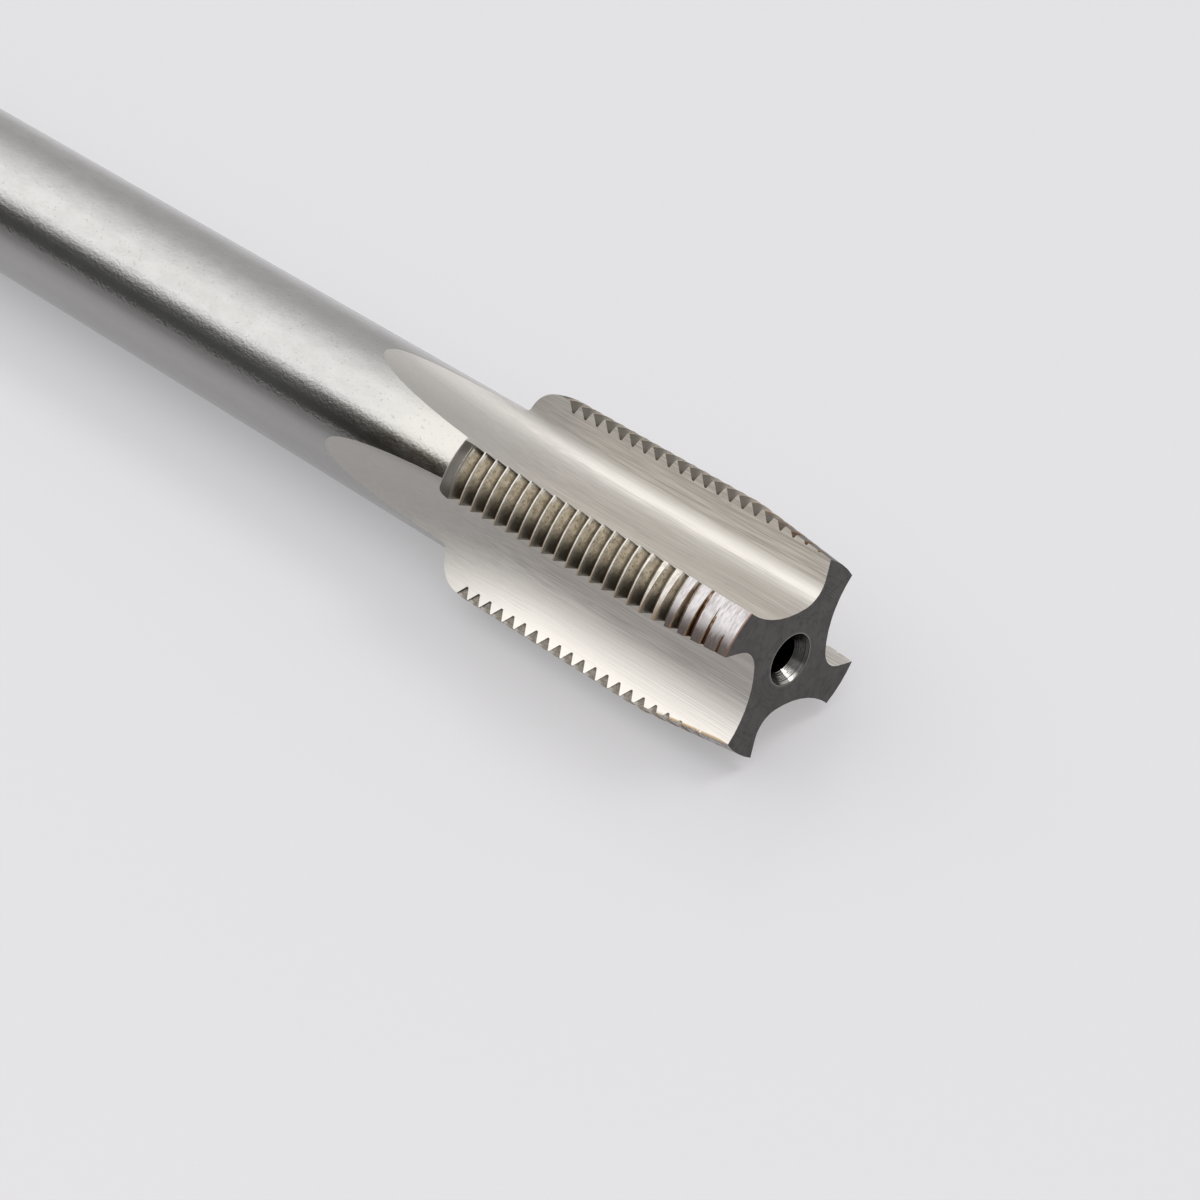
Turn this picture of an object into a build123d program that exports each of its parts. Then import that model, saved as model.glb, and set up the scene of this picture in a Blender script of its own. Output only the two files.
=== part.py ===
from build123d import *
import os
from math import acos, degrees, radians, sin, sqrt, tan

# Straight-fluted thread tap, 1/2 inch by 28 threads to the inch, ground from one bar of
# high-speed steel.  It is shaped upright, as it would hang between the centres of a grinder:
# the axis is +Z and the cutting tip is at the top.  At the end it is laid on its side with the
# tip towards +X, resting on two of its four lands.  Sizes are in millimetres and degrees.

# ---- Whole tool ----
overall_length = 100.0
shank_diameter = 9.0
shank_end_chamfer = 0.5

# ---- Driving square at the back of the shank ----
square_across_flats = 7.0
square_length = 10.0
square_step_radius = 0.6

# ---- Threaded body ----
major_diameter = 12.7
thread_pitch = 0.907
flank_angle = 60.0
thread_depth = 0.6
crest_flat = 0.09
full_body_length = 19.8
shoulder_radius = 2.3
shoulder_foot_radius = 0.5
first_groove_from_tip = 1.118

# ---- Lead: the tapered start of the thread, backed off behind each cutting edge ----
lead_length = 5.3
lead_tip_diameter = 11.48
lead_relief = 0.2

# ---- Flutes, the gaps between the lands ----
flute_count = 4
land_angle = 27.6
hook_angle = 12.0
web_diameter = 5.64
flute_back_radius = 5.4
flute_foot_radius = 1.55
flute_straight_length = 12.6
flute_wheel_radius = 108.0

# ---- Centre holes that carry the tool between centres ----
centre_cone_angle = 60.0
centre_point_angle = 118.0
tip_mouth_diameter = 3.0
tip_pilot_diameter = 2.2
tip_hole_depth = 4.2
back_mouth_diameter = 4.25
back_pilot_diameter = 2.0
back_hole_depth = 5.5

# ---- How far each cutter stands clear of what it cuts ----
cutter_margin = 1.0
groove_margin = 0.05
overrun_angle = 8.0

# ---- Worked out from the sizes above ----
major_radius = major_diameter / 2
shank_radius = shank_diameter / 2
web_radius = web_diameter / 2
half_land = land_angle / 2
flute_spacing = 360 / flute_count
body_foot = overall_length - full_body_length


def land_direction(land):
    """The angle about the axis at which the middle of a land lies."""
    return flute_spacing * (land + 0.5)


def blank():
    """The turned blank: shank, rounded shoulder, and the body at its full diameter."""
    drop = major_radius - shank_radius
    shoulder_length = sqrt(shoulder_radius**2 - (shoulder_radius - drop) ** 2)
    foot = (shank_radius, body_foot - shoulder_length)
    brow = (major_radius, body_foot)
    end_chamfer = [(shank_radius - shank_end_chamfer, 0), (shank_radius, shank_end_chamfer)]
    with BuildPart() as turned:
        with BuildSketch(Plane.XZ) as outline:
            with BuildLine():
                Polyline(brow, (major_radius, overall_length), (0, overall_length), (0, 0), *end_chamfer, foot)
                RadiusArc(foot, brow, -shoulder_radius)
            make_face()
            fillet(outline.vertices().sort_by_distance(Vector(*foot))[0], shoulder_foot_radius)
        revolve(axis=Axis.Z)
    return turned.part


def square_flat():
    """What the milling cutter takes off one side of the shank's end, with a radius at the step."""
    half_across = square_across_flats / 2
    width = shank_diameter + 2 * cutter_margin
    with BuildPart() as milled:
        with BuildSketch(Plane.XZ) as side:
            with Locations((half_across, -cutter_margin)):
                Rectangle(shank_diameter, square_length + cutter_margin, align=(Align.MIN, Align.MIN))
            fillet(side.vertices().group_by(Axis.Y)[-1].sort_by(Axis.X)[0], square_step_radius)
        extrude(amount=width / 2, both=True)
    return milled.part


def centre_hole(mouth_diameter, pilot_diameter, depth):
    """A centre drill's shape with its mouth at the origin: a cone, then a blind pilot hole."""
    cone_slope = tan(radians(centre_cone_angle / 2))
    pilot_radius = pilot_diameter / 2
    mouth_radius = mouth_diameter / 2
    cone_depth = (mouth_radius - pilot_radius) / cone_slope
    point_length = pilot_radius / tan(radians(centre_point_angle / 2))
    outer_radius = mouth_radius + cutter_margin * cone_slope
    with BuildPart() as drill:
        with BuildSketch(Plane.XZ):
            with BuildLine():
                Polyline(
                    (0, cutter_margin),
                    (outer_radius, cutter_margin),
                    (pilot_radius, -cone_depth),
                    (pilot_radius, point_length - depth),
                    (0, -depth),
                    close=True,
                )
            make_face()
        revolve(axis=Axis.Z)
    return drill.part


def flute_section():
    """The flute in cross-section: heel and web on one arc, a foot radius, a hooked cutting face."""
    gap = flute_spacing - land_angle
    edge_angle = 90 - gap / 2
    heel_angle = 90 + gap / 2
    back_reach = web_radius + flute_back_radius
    heel_cosine = (major_radius**2 + back_reach**2 - flute_back_radius**2) / (2 * major_radius * back_reach)
    back_angle = heel_angle - degrees(acos(heel_cosine))
    cutting_edge = Location((major_radius, 0)).position.rotate(Axis.Z, edge_angle)
    back_centre = Location((back_reach, 0)).position.rotate(Axis.Z, back_angle)
    land_width = 4 * flute_back_radius
    with BuildSketch() as section:
        with Locations(back_centre):
            Circle(flute_back_radius)
        with Locations(Location(cutting_edge, (0, 0, edge_angle + hook_angle))):
            Rectangle(land_width, land_width, align=(Align.CENTER, Align.MAX), mode=Mode.SUBTRACT)
        fillet(section.vertices().sort_by(Axis.Y)[0], flute_foot_radius)
    return section.sketch


def flute():
    """One flute: straight along the body, then lifted out of the shank on the wheel's own rim."""
    straight_end = overall_length - flute_straight_length
    section = Pos(0, 0, straight_end) * flute_section()
    wheel_axis = Axis((0, web_radius + flute_wheel_radius, straight_end), (1, 0, 0))
    lift = shank_radius - web_radius + cutter_margin
    run_out_angle = degrees(acos(1 - lift / flute_wheel_radius))
    straight = extrude(section, flute_straight_length + cutter_margin, dir=(0, 0, 1))
    run_out = revolve(section, wheel_axis, run_out_angle)
    return straight + run_out


def lead_backing_off():
    """What is ground off the front of one land: all that lies outside an off-centre cone."""
    edge_offset = lead_relief / 2
    axis_offset = edge_offset / sin(radians(half_land))
    tip_radius = lead_tip_diameter / 2 - edge_offset
    slope = (major_radius - lead_tip_diameter / 2) / lead_length
    rim_radius = major_radius + cutter_margin
    rim_depth = (rim_radius - tip_radius) / slope
    half_sweep = half_land + overrun_angle
    with BuildPart() as ground:
        with BuildSketch(Plane.XZ):
            with BuildLine():
                Polyline(
                    (tip_radius - slope * cutter_margin, overall_length + cutter_margin),
                    (rim_radius, overall_length + cutter_margin),
                    (rim_radius, overall_length - rim_depth),
                    close=True,
                )
            make_face()
        revolve(axis=Axis.Z, revolution_arc=2 * half_sweep)
    return Pos(0, axis_offset, 0) * Rot(Z=-half_sweep) * ground.part


def groove_across_land():
    """One land's worth of the V groove: a true helix that overruns into the flute at each side."""
    flank_slope = tan(radians(flank_angle / 2))
    root_radius = major_radius - thread_depth
    rim_radius = major_radius + groove_margin
    mouth_half = (thread_pitch - crest_flat) / 2
    root_half = mouth_half - thread_depth * flank_slope
    rim_half = mouth_half + groove_margin * flank_slope
    sweep_angle = land_angle + 2 * overrun_angle
    rise = thread_pitch * sweep_angle / 360
    with BuildPart() as groove:
        with BuildLine():
            helix = Helix(thread_pitch, rise, root_radius)
        with BuildSketch(Plane.XZ):
            with BuildLine():
                Polyline(
                    (root_radius, -root_half),
                    (rim_radius, -rim_half),
                    (rim_radius, rim_half),
                    (root_radius, root_half),
                    close=True,
                )
            make_face()
        sweep(path=helix, is_frenet=True)
    return Pos(0, 0, -rise / 2) * Rot(Z=-sweep_angle / 2) * groove.part


def thread_grooves():
    """The thread: turn after turn of groove, each land a share of the pitch on from the last."""
    groove = groove_across_land()
    grooves = []
    for land in range(flute_count):
        height = overall_length - first_groove_from_tip + thread_pitch * land / flute_count
        while height > body_foot:
            grooves.append(Pos(0, 0, height) * Rot(Z=land_direction(land)) * groove)
            height -= thread_pitch
    return grooves


def thread_tap():
    """The whole tool, cut from its blank in the order in which a maker cuts it."""
    tip_centre = centre_hole(tip_mouth_diameter, tip_pilot_diameter, tip_hole_depth)
    back_centre = centre_hole(back_mouth_diameter, back_pilot_diameter, back_hole_depth)
    centre_holes = [Pos(0, 0, overall_length) * tip_centre, Rot(X=180) * back_centre]
    flutes = [Rot(Z=flute_spacing * number) * flute() for number in range(flute_count)]
    backing_off = lead_backing_off()
    leads = [Rot(Z=land_direction(land)) * backing_off for land in range(flute_count)]
    flats = [Rot(Z=90 * side) * square_flat() for side in range(4)]
    tool = blank().cut(*flats, *centre_holes)
    tool = tool.cut(*flutes)
    tool = tool.cut(*leads)
    return tool.cut(*thread_grooves())


def laid_down(tool):
    """Turns the tool on to its side, tip towards +X, with two lands on the surface it rests on."""
    lying = Pos(-overall_length / 2, 0, 0) * Rot(Y=90) * tool
    return Pos(0, 0, -lying.bounding_box().min.Z) * lying


os.makedirs("parts", exist_ok=True)
tap = laid_down(thread_tap())
export_step(tap, "parts/thread_tap.step")
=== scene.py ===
from math import radians

import bpy
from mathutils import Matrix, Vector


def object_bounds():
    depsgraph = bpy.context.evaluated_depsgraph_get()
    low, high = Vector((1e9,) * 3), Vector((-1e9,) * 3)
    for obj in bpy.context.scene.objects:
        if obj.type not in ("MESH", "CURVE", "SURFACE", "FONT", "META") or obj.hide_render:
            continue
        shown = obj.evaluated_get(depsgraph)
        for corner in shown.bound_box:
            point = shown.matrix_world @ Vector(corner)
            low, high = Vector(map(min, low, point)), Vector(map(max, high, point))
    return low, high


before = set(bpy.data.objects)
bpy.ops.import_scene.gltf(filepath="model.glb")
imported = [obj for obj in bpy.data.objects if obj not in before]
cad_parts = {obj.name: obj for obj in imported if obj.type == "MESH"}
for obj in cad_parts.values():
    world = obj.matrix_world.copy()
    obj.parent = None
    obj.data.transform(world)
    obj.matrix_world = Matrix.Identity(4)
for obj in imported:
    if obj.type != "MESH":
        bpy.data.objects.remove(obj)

cad_box = [list(corner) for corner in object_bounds()]

# ---- Camera ----
# A long lens 17 cm from the cutting tip, above and in front of it, looking back along the
# shank: the tip's end face, two flutes and one whole land are in view.
camera_place = (0.139683, -0.096659, 0.115716)
camera_tilt = radians(51.1863)
camera_lean = radians(2.0804)
camera_heading = radians(45.4128)
lens_length = 99.14
sensor_width = 36.0
nearest_sight = 0.01
farthest_sight = 20.0

scene = bpy.context.scene
camera_data = bpy.data.cameras.new("camera")
camera_data.sensor_width = sensor_width
camera_data.lens = lens_length
camera_data.clip_start = nearest_sight
camera_data.clip_end = farthest_sight
camera = bpy.data.objects.new("camera", camera_data)
camera.location = camera_place
camera.rotation_euler = (camera_tilt, camera_lean, camera_heading)
scene.collection.objects.link(camera)
scene.camera = camera
scene.view_settings.view_transform = "Standard"

# ---- Sheet under the tool ----
# A wide sheet of pale card with a slight sheen, on which the tool lies and throws its shadow.
# It is stage and no part of the tool; to the eye and in the metal it is a little lighter.
sheet_reach = 3.0
sheet_colour = (0.575, 0.567, 0.579, 1)
sheet_roughness = 0.25
glow_colour = (0.765, 0.757, 0.773, 1)
glow_share = 0.4


class Wire:
    """One value in a finish: a socket of its node tree, with arithmetic that adds Math nodes."""

    def __init__(self, tree, socket=None):
        self.tree = tree
        self.socket = socket

    def node(self, kind, settings=None, inputs=None, output=0):
        """Adds a node of this kind, its settings first and then its inputs, and gives an output."""
        made = self.tree.nodes.new("ShaderNode" + kind)
        for name, value in (settings or {}).items():
            setattr(made, name, value)
        for name, value in (inputs or {}).items():
            if isinstance(value, Wire):
                self.tree.links.new(value.socket, made.inputs[name])
            else:
                made.inputs[name].default_value = value
        return Wire(self.tree, made.outputs[output])

    def feed(self, socket):
        """Leads this value to a socket of another node."""
        self.tree.links.new(self.socket, socket)

    def math(self, operation, *terms):
        """A Math node on these terms, each a value of the finish or a plain number."""
        return self.node("Math", {"operation": operation}, dict(enumerate(terms)))

    def __add__(self, other):
        return self.math("ADD", self, other)

    def __radd__(self, other):
        return self.math("ADD", other, self)

    def __sub__(self, other):
        return self.math("SUBTRACT", self, other)

    def __rsub__(self, other):
        return self.math("SUBTRACT", other, self)

    def __mul__(self, other):
        return self.math("MULTIPLY", self, other)

    def __rmul__(self, other):
        return self.math("MULTIPLY", other, self)

    def __truediv__(self, other):
        return self.math("DIVIDE", self, other)

    def __rtruediv__(self, other):
        return self.math("DIVIDE", other, self)

    def __neg__(self):
        return self.math("MULTIPLY", self, -1.0)

    def __abs__(self):
        return self.math("ABSOLUTE", self)

    def __gt__(self, other):
        return self.math("GREATER_THAN", self, other)

    def __lt__(self, other):
        return self.math("LESS_THAN", self, other)

    def parts(self):
        """The three numbers that a vector is made of."""
        split = self.node("SeparateXYZ", inputs={"Vector": self}).socket.node
        return [Wire(self.tree, socket) for socket in split.outputs]

    def rise(self, low, high):
        """0 below low, 1 above high, and a smooth step between them."""
        ends = {"Value": self, "From Min": low, "From Max": high}
        return self.node("MapRange", {"interpolation_type": "SMOOTHSTEP"}, ends)

    def fall(self, low, high):
        """1 below low, 0 above high, and a smooth step between them."""
        return 1 - self.rise(low, high)

    def between(self, start, end):
        """A number that goes from start to end as this value goes from 0 to 1."""
        return start + self * (end - start)

    def blend(self, start, end):
        """A colour that goes from start to end as this value goes from 0 to 1."""
        ends = {0: self, 6: start, 7: end}
        return self.node("Mix", {"data_type": "RGBA"}, ends, output=2)

    def tint(self, under, tone, share):
        """The colour under it, with this share of a tone laid on where this value is 1."""
        return (self * share).blend(under, tone)

    def grain(self, stretch, scale, detail, rough):
        """Noise from 0 to 1 in this place, drawn out by the three numbers of stretch."""
        scaled = self.node("VectorMath", {"operation": "MULTIPLY"}, {0: self, 1: stretch})
        settings = {"Vector": scaled, "Scale": scale, "Detail": detail, "Roughness": rough}
        return self.node("TexNoise", inputs=settings)


floor_mesh = bpy.data.meshes.new("floor")
floor_corners = [(-sheet_reach, -sheet_reach, 0), (sheet_reach, -sheet_reach, 0)]
floor_corners += [(sheet_reach, sheet_reach, 0), (-sheet_reach, sheet_reach, 0)]
floor_mesh.from_pydata(floor_corners, [], [(0, 1, 2, 3)])
floor = bpy.data.objects.new("floor", floor_mesh)
scene.collection.objects.link(floor)

card = bpy.data.materials.new("pale_sheet")
card.use_nodes = True
card_shader = card.node_tree.nodes["Principled BSDF"]
card_shader.inputs["Base Color"].default_value = sheet_colour
card_shader.inputs["Roughness"].default_value = sheet_roughness
card_wire = Wire(card.node_tree)
seen_by_eye = card_wire.node("LightPath", output="Is Camera Ray")
seen_in_metal = card_wire.node("LightPath", output="Is Glossy Ray")
seen = card_wire.math("MAXIMUM", seen_by_eye, seen_in_metal)
lit_card = Wire(card.node_tree, card_shader.outputs["BSDF"])
glow = card_wire.node("Emission", inputs={"Color": glow_colour, "Strength": 1.0})
card_surface = card_wire.node("MixShader", inputs={0: seen * glow_share, 1: lit_card, 2: glow})
card_surface.feed(card.node_tree.nodes["Material Output"].inputs["Surface"])
floor_mesh.materials.append(card)

# ---- Light tent ----
# White cloth over the tool, like a tunnel along its length: brightest overhead, greyer low down
# on the far side, dark low down on the near side by the shank, with one lamp through the roof.
far_low_level = 0.66
overhead_level = 1.70
far_sweep = (-0.95, 0.35)
near_level = 0.6
near_shank_level = 0.10
near_sweep = (0.65, 0.91)
shank_sweep = (0.3, 0.5)
tunnel_end_level = 0.6
tunnel_end_sweep = (0.85, 0.98)
lamp_way = (0.33, 0.43, 0.84)
lamp_level = 7.0
lamp_edge = (0.977, 0.988)
cloth_as_seen = 0.75
least_spread = 0.0001

world = bpy.data.worlds.new("light_tent")
scene.world = world
world.use_nodes = True
tent = Wire(world.node_tree)
way = tent.node("TexCoord", output="Generated")
way_x, way_y, way_z = way.parts()
spread = tent.math("SQRT", tent.math("MAXIMUM", way_y * way_y + way_z * way_z, least_spread))
nearness = -way_y / spread
far_side = nearness.rise(*far_sweep).between(far_low_level, overhead_level)
near_side = (-way_x).rise(*shank_sweep).between(near_level, near_shank_level)
tent_level = nearness.rise(*near_sweep).between(far_side, near_side)
tent_level = abs(way_x).rise(*tunnel_end_sweep).between(tent_level, tunnel_end_level)
lamp = way.node("VectorMath", {"operation": "DOT_PRODUCT"}, {0: way, 1: lamp_way}, output=1)
tent_level = lamp.rise(*lamp_edge).between(tent_level, lamp_level)
tent_level = tent.node("LightPath", output="Is Camera Ray").between(tent_level, cloth_as_seen)
background = world.node_tree.nodes["Background"]
background.inputs["Color"].default_value = (1, 1, 1, 1)
tent_level.feed(background.inputs["Strength"])

# ---- Bar of tool steel ----
# The tap is one bar of hardened high-speed steel, ground to shape and left uncoated.  Each finish
# below goes on over the one before it, by where a point lies on the bar and how it faces, in
# millimetres and radians.  The axis is as high as the lands reach out to each side.
millimetres_in_metre = 1000.0
tool_length = (cad_box[1][0] - cad_box[0][0]) * millimetres_in_metre
axis_height = cad_box[1][1] * millimetres_in_metre
land_middle = radians(45)
half_spacing = radians(45)

steel = bpy.data.materials.new("tool_steel_ground")
steel.use_nodes = True
steel_shader = steel.node_tree.nodes["Principled BSDF"]
steel_shader.inputs["Metallic"].default_value = 1.0
bar = Wire(steel.node_tree)
metres = bar.node("TexCoord", output="Object")
place = bar.node("VectorMath", {"operation": "SCALE"}, {0: metres, "Scale": millimetres_in_metre})
place_x, place_y, place_z = place.parts()
facing_x, facing_y, facing_z = bar.node("NewGeometry", output="Normal").parts()

back = tool_length / 2 - place_x
height = place_z - axis_height
radius = bar.math("SQRT", place_y * place_y + height * height)
angle = bar.math("ARCTAN2", height, place_y)
land_angle = bar.math("WRAP", angle - land_middle, half_spacing, -half_spacing)
outward = (facing_y * place_y + facing_z * height) / radius
sideways = (facing_z * place_y - facing_y * height) / radius

# ---- Flutes and driving square ----
# Four troughs that a grinding wheel has drawn along the body and out of the shank.  It leaves
# long fine lines.  Painted shade darkens the web and the face above its foot, and a painted
# highlight lightens the foot of the face and the heel's back.
# The flats of the square, milled the same way along, keep the plain tone of the run-out.
line_valley = (0.535, 0.506, 0.469, 1)
line_ridge = (0.715, 0.682, 0.636, 1)
scratch_tone = (0.44, 0.41, 0.38, 1)
cloud_tone = (0.34, 0.31, 0.28, 1)
# The next four tones are painted shade and painted highlight.
web_shade_tone = (0.40, 0.375, 0.35, 1)
foot_highlight_tone = (0.73, 0.70, 0.655, 1)
face_shade_tone = (0.44, 0.418, 0.39, 1)
heel_highlight_tone = (0.92, 0.88, 0.825, 1)
run_out_tone = (0.47, 0.455, 0.435, 1)
flute_roughness = 0.54
line_depth = 0.009
web_shade_sideways = (0.3, 0.85)
web_shade_outward = (0.35, 0.8)
foot_highlight_from = (-0.22, 0.0)
foot_highlight_to = (0.3, 0.6)
face_shade_from = (0.45, 0.7)
face_shade_to = (0.85, 0.97)
heel_highlight_sideways = (0.60, 0.94)
heel_highlight_turned_away = (-0.2, 0.5)
heel_highlight_span = (17.0, 26.0)
run_out_span = (13.0, 26.0)

drawn_lines = place.grain(stretch=(0.02, 1.0, 1.0), scale=15.0, detail=1.0, rough=0.6)
scratches = place.grain(stretch=(0.025, 1.0, 1.0), scale=9.0, detail=1.0, rough=0.5)
clouds = place.grain(stretch=(0.5, 1.0, 1.0), scale=1.1, detail=3.0, rough=0.6)
colour = drawn_lines.rise(0.34, 0.66).blend(line_valley, line_ridge)
colour = scratches.rise(0.54, 0.66).tint(colour, scratch_tone, share=0.45)
colour = clouds.rise(0.62, 0.72).tint(colour, cloud_tone, share=0.3)

face_side = sideways > 0.0
# Painted light: shade on the web and on the face above its foot, highlight at the foot and on the
# heel's back.
web_shade = abs(sideways).fall(*web_shade_sideways) * outward.rise(*web_shade_outward)
foot_highlight = face_side * outward.rise(*foot_highlight_from) * outward.fall(*foot_highlight_to)
face_shade = face_side * outward.rise(*face_shade_from) * outward.fall(*face_shade_to)
heel_highlight = (-sideways).rise(*heel_highlight_sideways) * facing_y.fall(*heel_highlight_turned_away)
heel_highlight = heel_highlight * back.fall(*heel_highlight_span)
run_out = back.rise(*run_out_span)
# The painted shade and painted highlight go onto the flutes here.
colour = web_shade.tint(colour, web_shade_tone, share=0.5)
colour = foot_highlight.tint(colour, foot_highlight_tone, share=0.8)
colour = face_shade.tint(colour, face_shade_tone, share=0.6)
colour = heel_highlight.tint(colour, heel_highlight_tone, share=0.85)
colour = run_out.tint(colour, run_out_tone, share=0.8)
relief = drawn_lines * line_depth

# ---- Shank ----
# Turned, ground round and polished, so that it mirrors the tent.  A painted sheen makes it
# lighter and warmer next to the shoulder, painted shade darkens its underside and a low band, and
# one smear of old oil, deepened into a painted dark reflection, runs back from the shoulder.
shank_start = 21.5
least_shank_radius = 4.4
least_shank_outward = 0.998
# Painted sheen near the shoulder, painted shade underneath and along a low band.
shoulder_sheen_span = (23.0, 33.0)
underside_shade_facing = (0.2, 0.45)
low_shade_facing_from = (0.18, 0.38)
low_shade_facing_to = (0.40, 0.46)
shank_grey = (0.42, 0.415, 0.405, 1)
shank_pale = (0.46, 0.455, 0.445, 1)
shoulder_sheen_tone = (0.54, 0.52, 0.48, 1)
pit_tone = (0.25, 0.23, 0.20, 1)
underside_shade_tone = (0.33, 0.325, 0.32, 1)
low_shade_tone = (0.15, 0.147, 0.143, 1)
# An oil smear, deepened into a painted dark reflection along the shank's dark band.
oil_and_dark_band_tone = (0.16, 0.14, 0.115, 1)
oil_and_dark_band_angle = radians(149)
oil_and_dark_band_half_width = (0.10, 0.20)
oil_and_dark_band_wander = 0.12
oil_and_dark_band_span = (26.0, 38.0)
oil_and_dark_band_thin = 0.65
oil_and_dark_band_thick = 0.95
shank_roughness = 0.16
pit_depth = 0.011

shank = (back > shank_start) * (outward > least_shank_outward) * (radius > least_shank_radius)
pits = place.grain(stretch=(0.8, 1.0, 1.0), scale=5.0, detail=2.0, rough=0.7)
shank_colour = clouds.rise(0.3, 0.7).blend(shank_grey, shank_pale)
# Painted sheen: lighter and warmer next to the shoulder.
shank_colour = back.fall(*shoulder_sheen_span).tint(shank_colour, shoulder_sheen_tone, share=0.8)
shank_colour = pits.rise(0.6, 0.72).tint(shank_colour, pit_tone, share=0.35)
# Painted shade: darker underneath, and darker again along a low band where the floor is mirrored.
shank_colour = facing_z.fall(*underside_shade_facing).tint(shank_colour, underside_shade_tone, share=0.8)
low_shade = facing_z.rise(*low_shade_facing_from) * facing_z.fall(*low_shade_facing_to)
shank_colour = low_shade.tint(shank_colour, low_shade_tone, share=0.65)
# Partly an old oil smear and partly a painted dark reflection along the shank's dark band.
oil_and_dark_band = abs(angle - oil_and_dark_band_angle + pits * oil_and_dark_band_wander).fall(*oil_and_dark_band_half_width) * back.fall(*oil_and_dark_band_span)
oil_and_dark_band = oil_and_dark_band * clouds.rise(0.35, 0.6).between(oil_and_dark_band_thin, oil_and_dark_band_thick)
shank_colour = oil_and_dark_band.blend(shank_colour, oil_and_dark_band_tone)
colour = shank.blend(colour, shank_colour)
roughness = shank.between(flute_roughness, shank_roughness)
relief = shank.between(relief, pits * pit_depth)

# ---- Crests of the lands ----
# What is left of the blank's own surface between the thread's grooves: bright at the heel and
# browned towards the cutting edge.  The heel's edge by the tip is tinted straw by grinding heat.
body_length = 20.3
major_radius = 6.35
half_land = radians(13.8)
lead_length = 5.3
lead_tip_radius = 5.74
lead_relief = 0.2
crest_tolerance = 0.05
least_crest_outward = 0.95
browning_span = (0.0, 0.2)
crest_bright = (0.70, 0.665, 0.61, 1)
crest_browned = (0.42, 0.33, 0.25, 1)
crest_fleck = (0.36, 0.31, 0.25, 1)
straw_tint = (0.50, 0.32, 0.12, 1)
least_straw_radius = 5.5
straw_span = (3.5, 5.5)
straw_depth = (0.05, 0.16)
heel_from = radians(-19)
heel_to = radians(-13)

lead_slope = (major_radius - lead_tip_radius) / lead_length
backing_off = (half_land - land_angle) * (lead_relief / (2 * half_land))
lead_radius = lead_tip_radius + back * lead_slope - backing_off
blank_radius = bar.math("MINIMUM", lead_radius, major_radius)
below_blank = blank_radius - radius
mottle = place.grain(stretch=(1.0, 0.6, 0.6), scale=3.5, detail=3.0, rough=0.65)

heel_edge = (land_angle > heel_from) * (land_angle < heel_to) * (radius > least_straw_radius)
straw = heel_edge * back.fall(*straw_span) * below_blank.fall(*straw_depth)
straw = straw * mottle.rise(0.30, 0.42)
colour = straw.tint(colour, straw_tint, share=0.9)

body = back < body_length
crest = body * (outward > least_crest_outward) * (radius > blank_radius - crest_tolerance)
crest_colour = land_angle.rise(*browning_span).blend(crest_bright, crest_browned)
crest_colour = mottle.rise(0.45, 0.62).tint(crest_colour, crest_fleck, share=0.45)
colour = crest.blend(colour, crest_colour)
relief = relief * (1 - crest)

# ---- Lead ----
# The first turns are ground to a taper and backed off, so that broad pale flats stand there in
# place of sharp crests.  Painted shade darkens them towards the cutting edge, and the first groove
# runs on as a dark brown slit, partly oxide and partly painted groove shade.
thread_pitch = 0.907
first_groove = 1.118
slit_length = 2.2
slit_half_width = (0.03, 0.09)
slit_land_span = (0.06, 0.13)
slit_wander = 0.1
flat_shade_span = (-0.02, 0.15)
flat_shade_wander = 0.2
crack_half_width = (0.0, 0.03)
cracked_land_end = radians(-90)
lead_end_span = (4.3, 4.9)
rim_width = 0.09
flat_dull = (0.38, 0.35, 0.345, 1)
flat_bright = (0.60, 0.575, 0.58, 1)
flat_shade_tone = (0.095, 0.072, 0.063, 1)
slit_shade_tone = (0.09, 0.045, 0.028, 1)
crack_tone = (0.05, 0.042, 0.036, 1)
rim_tone = (0.20, 0.11, 0.075, 1)
lead_roughness = 0.45
scuff_depth = 0.012

lead_flat = crest * back.fall(*lead_end_span)
scuffs = place.grain(stretch=(1.0, 0.25, 0.25), scale=6.0, detail=2.0, rough=0.65)
specks = place.grain(stretch=(1.0, 1.0, 1.0), scale=7.0, detail=1.0, rough=0.7)
lead_colour = scuffs.rise(0.28, 0.66).blend(flat_dull, flat_bright)
# Painted shade on the flats towards the cutting edge.
flat_shade_edge = (land_angle + (scuffs - 0.5) * flat_shade_wander).rise(*flat_shade_span)
lead_colour = flat_shade_edge.tint(lead_colour, flat_shade_tone, share=0.9)
# The slit is painted: a dark brown line, partly oxide and partly painted groove shade.
groove_offset = back - first_groove + (angle + half_spacing) * (thread_pitch / radians(360))
groove_offset = abs(bar.math("WRAP", groove_offset, thread_pitch / 2, -thread_pitch / 2))
slit = groove_offset.fall(*slit_half_width) * (back < slit_length)
slit = slit * (land_angle + specks * slit_wander).rise(*slit_land_span)
lead_colour = slit.blend(lead_colour, slit_shade_tone)
cracks = abs(mottle - 0.5).fall(*crack_half_width) * (angle < cracked_land_end)
lead_colour = cracks.tint(lead_colour, crack_tone, share=0.9)
lead_colour = (back < rim_width).tint(lead_colour, rim_tone, share=0.85)
colour = lead_flat.blend(colour, lead_colour)
roughness = lead_flat.between(roughness, lead_roughness)
relief = relief + scuffs * lead_flat * scuff_depth

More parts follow.
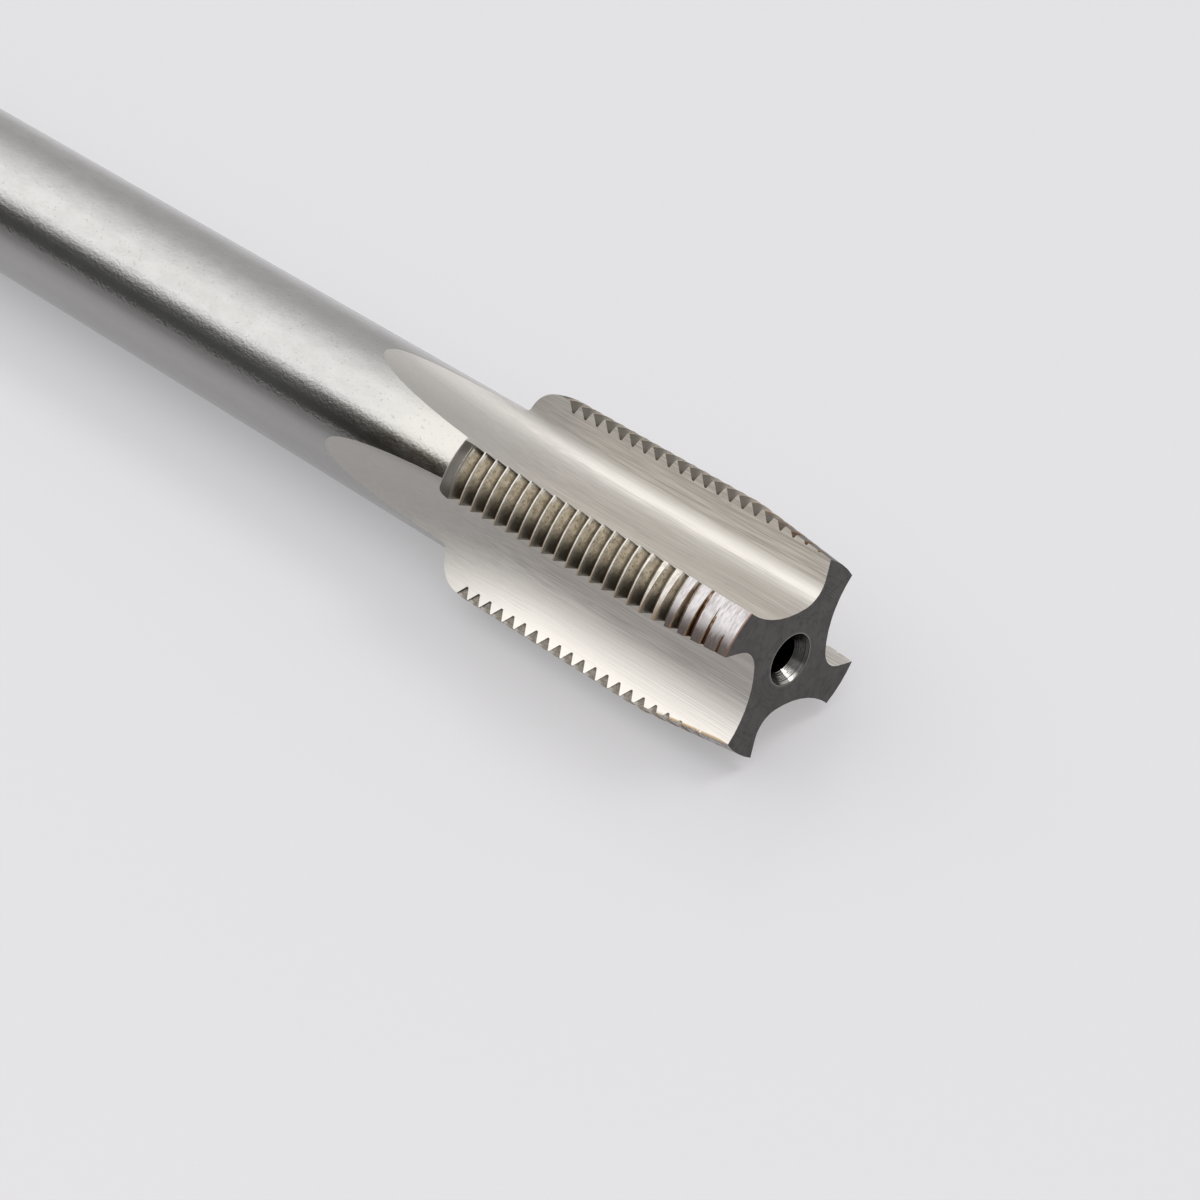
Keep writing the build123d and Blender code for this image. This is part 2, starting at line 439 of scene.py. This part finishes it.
# ---- Flanks of the thread ----
# The two sloping sides of the helical groove, left as the thread grinder made them: olive with
# tan patches and dark specks, darker towards both ends of each land and in the roots, partly dirt
# and oxide and partly painted shade, rusty in the first turns, burred at the heel.
least_groove_radius = 5.6
least_groove_outward = 0.35
first_turns_span = (2.6, 4.6)
root_span = (5.76, 5.98)
dark_to_face_span = (0.05, 0.24)
dark_to_heel_span = (-0.238, -0.212)
land_end_wander = 0.16
dark_at_heel = 0.6
gilt_span = (3.5, 8.0)
gilt_depth = (0.04, 0.10)
bright_edge_depth = (0.09, 0.18)
bright_edge_span = (-0.18, -0.11)
bright_edge_wander = 0.06
burr_edge = (radians(-12.7), radians(-12.2))
burr_wander = 0.04
flank_dark = (0.40, 0.365, 0.305, 1)
flank_light = (0.56, 0.515, 0.44, 1)
speck_tone = (0.19, 0.145, 0.095, 1)
tan_tone = (0.66, 0.57, 0.43, 1)
land_end_tone = (0.15, 0.135, 0.11, 1)
rust_tone = (0.11, 0.055, 0.032, 1)
root_tone = (0.14, 0.12, 0.095, 1)
gilt_tone = (0.34, 0.22, 0.11, 1)
bright_edge_tone = (0.80, 0.765, 0.70, 1)
burr_tone = (0.06, 0.05, 0.035, 1)
flank_roughness = 0.27
mottle_depth = 0.02

groove = body * (outward > least_groove_outward) * (radius > least_groove_radius) * (1 - crest)
first_turns = back.fall(*first_turns_span)
tip_flank = groove * (facing_x > 0.0)
flank_colour = mottle.rise(0.35, 0.65).blend(flank_dark, flank_light)
flank_colour = specks.rise(0.56, 0.66).tint(flank_colour, speck_tone, share=0.6)
flank_colour = pits.rise(0.56, 0.66).tint(flank_colour, tan_tone, share=0.5)
# Darker towards both ends of each land: partly dirt, partly painted shade.
land_end_dark = (land_angle + mottle * land_end_wander).rise(*dark_to_face_span)
land_end_dark = land_end_dark + land_angle.fall(*dark_to_heel_span) * dark_at_heel
flank_colour = land_end_dark.tint(flank_colour, land_end_tone, share=0.9)
rust = groove * first_turns * mottle.rise(0.3, 0.5)
flank_colour = rust.blend(flank_colour, rust_tone)
# Darker in the roots of the groove: partly oxide, partly painted shade.
root = groove * radius.fall(*root_span) * (1 - first_turns)
flank_colour = root.tint(flank_colour, root_tone, share=0.7)
gilt = tip_flank * below_blank.fall(*gilt_depth) * back.fall(*gilt_span)
flank_colour = gilt.tint(flank_colour, gilt_tone, share=0.85)
bright_edge = tip_flank * below_blank.fall(*bright_edge_depth)
bright_edge = bright_edge * (land_angle + specks * bright_edge_wander).fall(*bright_edge_span)
flank_colour = bright_edge.tint(flank_colour, bright_edge_tone, share=0.8)
colour = groove.blend(colour, flank_colour)
burr = (land_angle + specks * burr_wander).fall(*burr_edge)
burr = burr * groove * specks.rise(0.30, 0.42)
colour = burr.tint(colour, burr_tone, share=0.9)
roughness = groove.between(roughness, flank_roughness)
relief = groove.between(relief, mottle * mottle_depth)

# ---- Shoulder ----
# The rounded step down from the threaded body to the shank.  It is turned and not ground, and
# hardening has left it dull and dark, darkest where it meets the flutes.
shoulder_start = 19.8
shoulder_radius = 2.3
shoulder_from = 19.7
shoulder_to = 22.6
shoulder_tolerance = 0.12
shoulder_end_span = (0.10, 0.22)
shoulder_tone = (0.21, 0.195, 0.175, 1)
shoulder_end_tone = (0.10, 0.09, 0.075, 1)

shoulder_way = back - shoulder_start
shoulder_square = shoulder_radius**2 - shoulder_way * shoulder_way
shoulder_drop = bar.math("SQRT", bar.math("MAXIMUM", shoulder_square, 0.0))
shoulder_line = shoulder_drop + (major_radius - shoulder_radius)
shoulder = (back > shoulder_from) * (back < shoulder_to) * (facing_x < 0.0)
shoulder = shoulder * (abs(radius - shoulder_line) < shoulder_tolerance) * (1 - groove)
shoulder_colour = abs(land_angle).rise(*shoulder_end_span).blend(shoulder_tone, shoulder_end_tone)
colour = shoulder.blend(colour, shoulder_colour)
roughness = shoulder.between(roughness, flute_roughness)
relief = relief * (1 - shoulder)

# ---- End face ----
# The flat tip, faced off in the lathe and dark with oxide from hardening.  Faint rings of the
# facing tool and a few clouds and blotches show in it, and a thin painted highlight runs round the
# hole's rim.
end_skin = 0.05
least_end_facing = 0.9
rim_radius = 1.56
ring_valley = (0.077, 0.072, 0.071, 1)
ring_ridge = (0.112, 0.106, 0.102, 1)
end_cloud_tone = (0.125, 0.117, 0.112, 1)
end_blotch_tone = (0.062, 0.058, 0.060, 1)
rim_highlight_tone = (0.30, 0.29, 0.27, 1)
end_roughness = 0.5
ring_depth = 0.006

end_face = (facing_x > least_end_facing) * (back < end_skin)
turned_place = bar.node("CombineXYZ", inputs={0: radius, 1: back, 2: 0.0})
rings = turned_place.grain(stretch=(1.0, 1.0, 1.0), scale=14.0, detail=1.0, rough=0.7)
end_colour = rings.rise(0.35, 0.65).blend(ring_valley, ring_ridge)
end_colour = clouds.rise(0.42, 0.62).tint(end_colour, end_cloud_tone, share=0.55)
end_colour = mottle.rise(0.48, 0.66).tint(end_colour, end_blotch_tone, share=0.5)
# A thin painted highlight round the rim of the hole.
end_colour = (radius < rim_radius).tint(end_colour, rim_highlight_tone, share=0.6)
colour = end_face.blend(colour, end_colour)
roughness = end_face.between(roughness, end_roughness)
relief = end_face.between(relief, rings * ring_depth)

# ---- Centre hole in the tip ----
# A countersunk cone and a blind pilot hole, made by a centre drill to carry the tool between
# centres.  The bore is dark with oxide, and a painted glint lightens one side of the cone.
hole_radius = 1.52
hole_reach = 5.0
glint_angle = radians(-93)
glint_half_width = (0.25, 0.55)
bore_valley = (0.03, 0.029, 0.028, 1)
bore_ridge = (0.085, 0.083, 0.08, 1)
glint_valley = (0.12, 0.115, 0.11, 1)
glint_ridge = (0.60, 0.58, 0.55, 1)
bore_roughness = 0.14
bore_ring_depth = 0.02

hole = (radius < hole_radius) * (back < hole_reach) * (1 - end_face)
bore_colour = rings.rise(0.35, 0.6).blend(bore_valley, bore_ridge)
glint_colour = rings.rise(0.4, 0.55).blend(glint_valley, glint_ridge)
# Painted glint: the cone is made much lighter on one side.
painted_glint = abs(angle - glint_angle).fall(*glint_half_width)
colour = hole.blend(colour, painted_glint.blend(bore_colour, glint_colour))
roughness = hole.between(roughness, bore_roughness)
relief = hole.between(relief, rings * bore_ring_depth)

# ---- The finished tap ----
# The steel with all its finishes goes on the one solid of the tool, whose shape and place are
# the maker's own.  The relief of the grinding marks is in millimetres.
relief_unit = 0.001

bump = bar.node("Bump", inputs={"Height": relief, "Distance": relief_unit, "Strength": 1.0})
colour.feed(steel_shader.inputs["Base Color"])
roughness.feed(steel_shader.inputs["Roughness"])
bump.feed(steel_shader.inputs["Normal"])
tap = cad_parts["thread_tap"]
tap.material_slots[0].material = steel
